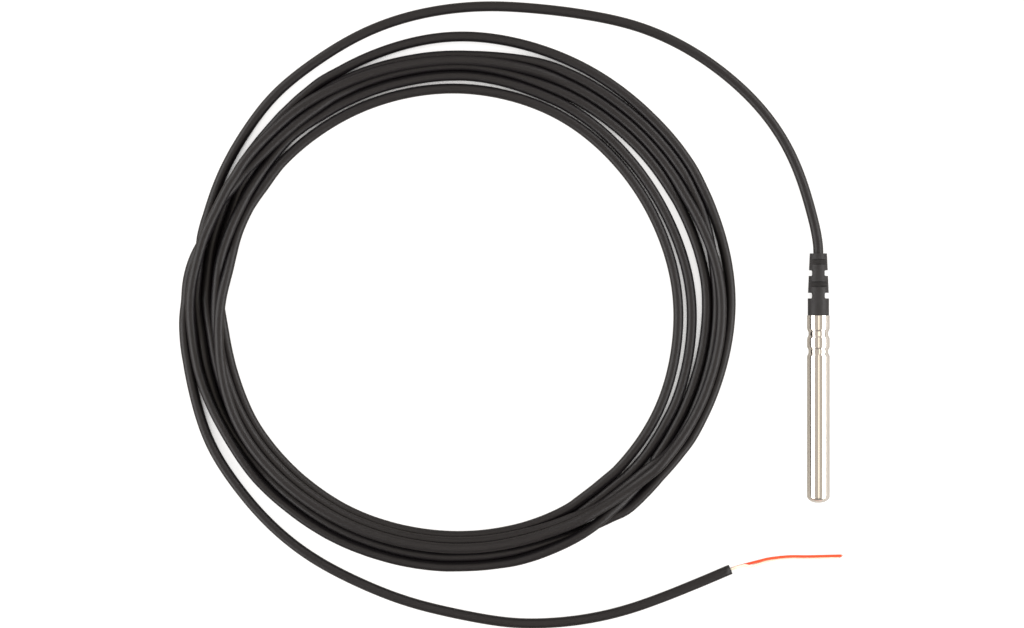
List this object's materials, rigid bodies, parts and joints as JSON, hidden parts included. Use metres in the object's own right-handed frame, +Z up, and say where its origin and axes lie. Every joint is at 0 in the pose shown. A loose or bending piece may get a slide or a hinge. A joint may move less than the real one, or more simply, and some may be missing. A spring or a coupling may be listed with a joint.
{
  "type": "soil sensor cable probe",
  "caption": "Sealed metal sleeve probe for burying in soil or a wet pocket, with a slotted bend relief and a long thin coiled cable ending in bare cores.",
  "frame": {"origin": "on the surface the probe lies on, under the middle of the sleeve and bend relief together", "axes": "+Y along the probe from the closed tip towards the cable, +Z up from the surface it lies on, +X to the right seen from above"},
  "size_m": [0.1778, 0.1678, 0.008],
  "materials": {
    "stainless": "polished, drawn",
    "boot_rubber": "matt moulded",
    "cable_jacket": "satin extruded PVC",
    "red_insulation": "glossy",
    "white_insulation": "glossy",
    "copper_strands": "bare copper",
    "ferrule_metal": "tinned",
    "splice_insulation": "shrunk tube",
    "element_wire": "drawn wire",
    "ceramic": "fired",
    "glaze": "glassy",
    "liner_film": "amber film",
    "heat_compound": "set paste",
    "potting_resin": "cast resin"
  },
  "bodies": {
    "root": {"sensor_sleeve": "stainless", "strain_relief_boot": "boot_rubber", "jacket_in_boot": "cable_jacket", "red_core_inside": "red_insulation", "white_core_inside": "white_insulation", "red_conductor_inside": "copper_strands", "white_conductor_inside": "copper_strands", "red_splice_ferrule": "ferrule_metal", "white_splice_ferrule": "ferrule_metal", "red_splice_tube": "splice_insulation", "white_splice_tube": "splice_insulation", "element_lead_red": "element_wire", "element_lead_white": "element_wire", "sensing_chip": "ceramic", "chip_glaze": "glaze", "lead_bond_bead": "glaze", "insulating_tube": "liner_film", "tip_compound": "heat_compound", "potting_plug": "potting_resin", "cable_lead": "cable_jacket", "cable_coil": "cable_jacket", "cable_tail": "cable_jacket", "red_core_end": "red_insulation", "white_core_end": "white_insulation", "red_conductor_end": "copper_strands", "white_conductor_end": "copper_strands"}
  },
  "joints": []
}
